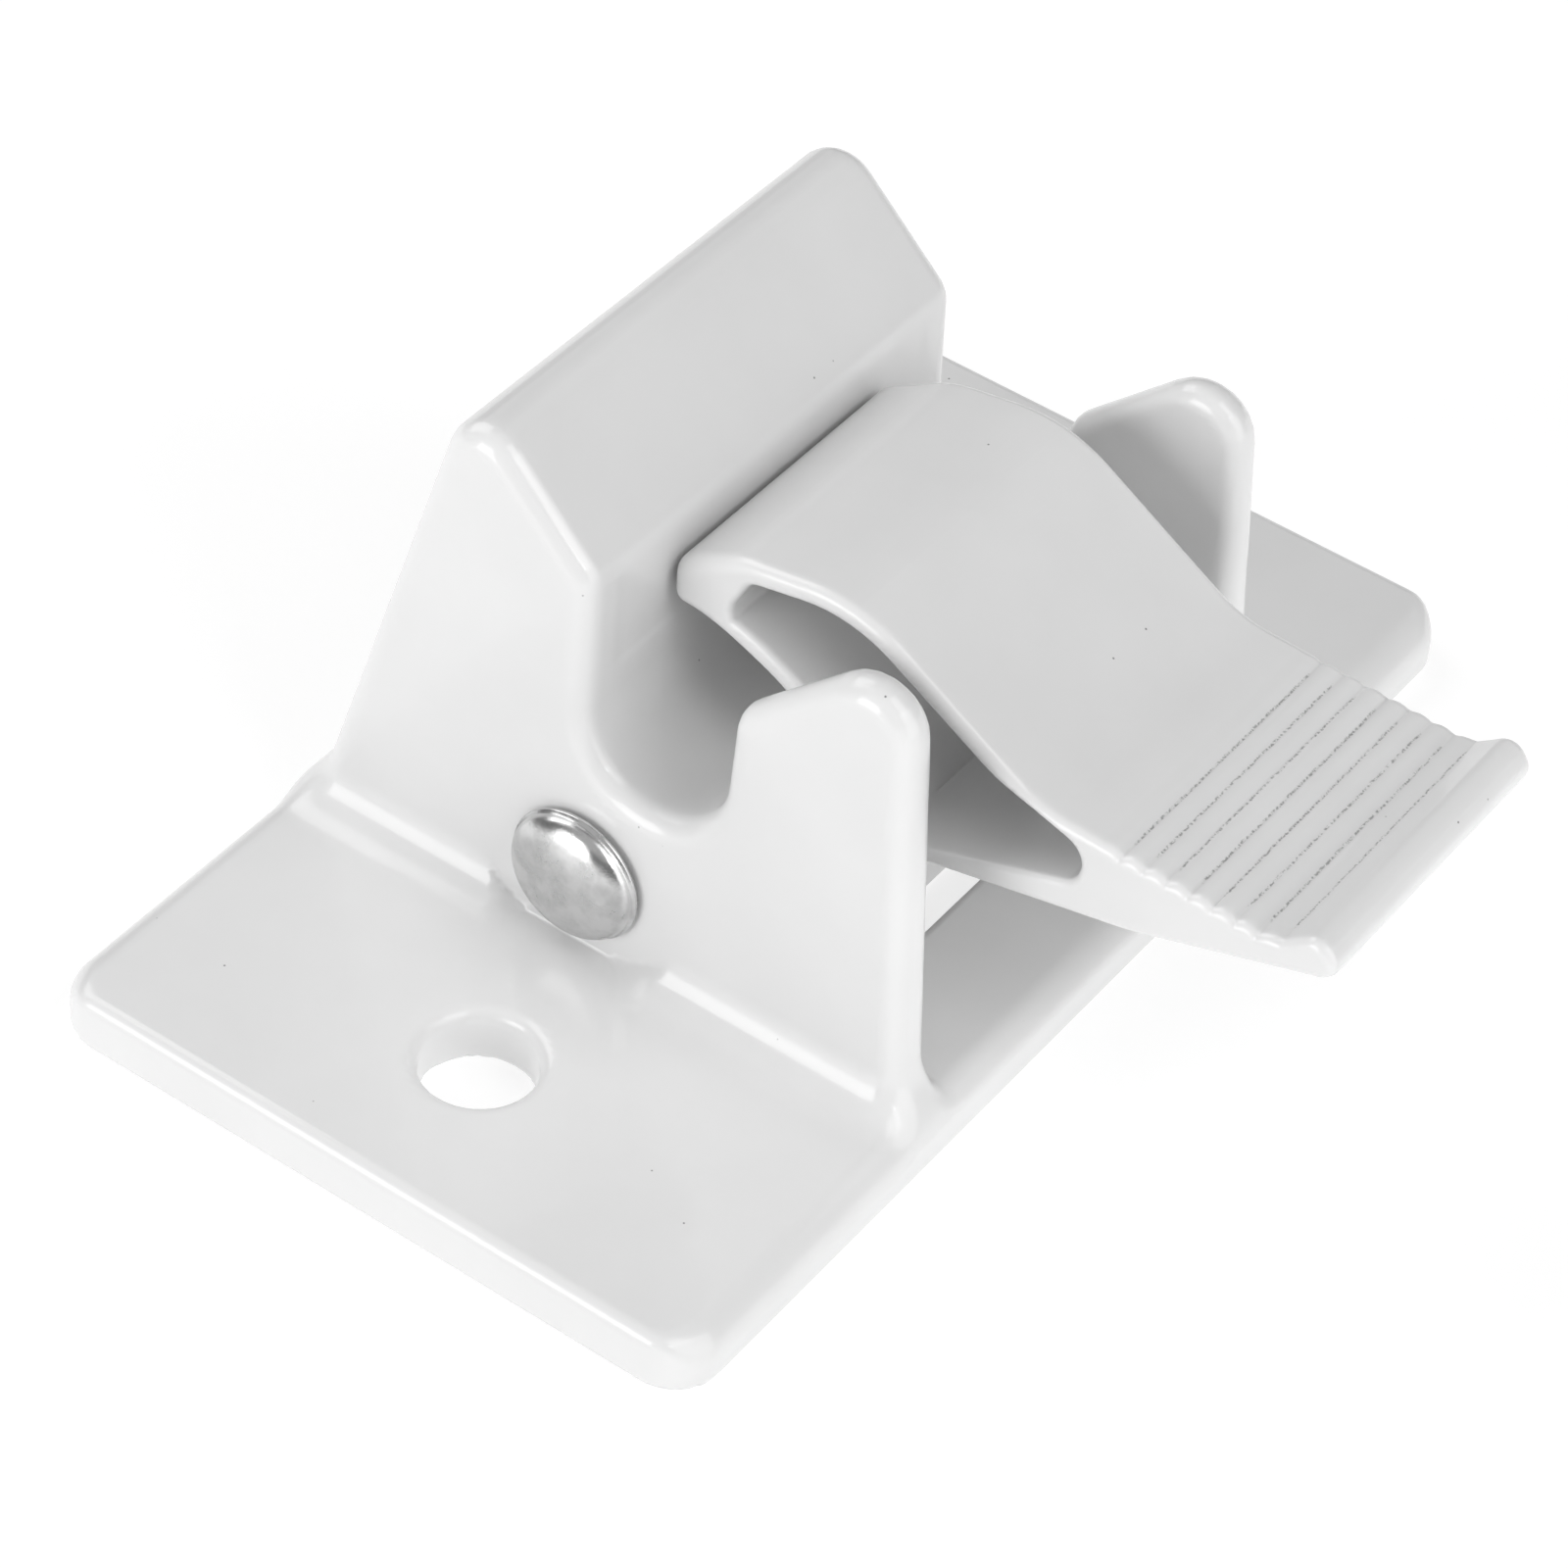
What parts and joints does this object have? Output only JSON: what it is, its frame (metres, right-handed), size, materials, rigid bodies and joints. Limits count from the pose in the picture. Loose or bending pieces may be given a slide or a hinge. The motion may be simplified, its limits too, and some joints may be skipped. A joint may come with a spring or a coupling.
{
  "type": "stair gate latch",
  "caption": "White cast stair gate latch: a wall plate with two slotted cheeks that hold a gate bar and a sprung thumb lever that hooks over it.",
  "frame": {"origin": "middle of the flat face that lies against the wall", "axes": "+Z away from the wall, +X towards the thumb tab, +Y along the gate bar and the pivot"},
  "size_m": [0.0612, 0.076, 0.034],
  "materials": {
    "white_enamel": "glossy",
    "white_enamel_lever": "glossy",
    "plated_steel": "satin",
    "spring_wire": "satin"
  },
  "bodies": {
    "base": {"base_casting": "white_enamel", "pivot_rivet": "plated_steel", "return_spring": "spring_wire"},
    "lever": {"thumb_lever": "white_enamel_lever"}
  },
  "joints": [
    {"name": "lever_pivot", "type": "hinge", "parent": "base", "child": "lever", "pos_m": [-0.00165, 0, 0.0085], "axis": [0, 1, 0], "range_deg": [0, 27.5], "stiffness_Nm_per_rad": 0.06, "springref_deg": -34.38, "deforming": ["return_spring"]}
  ]
}
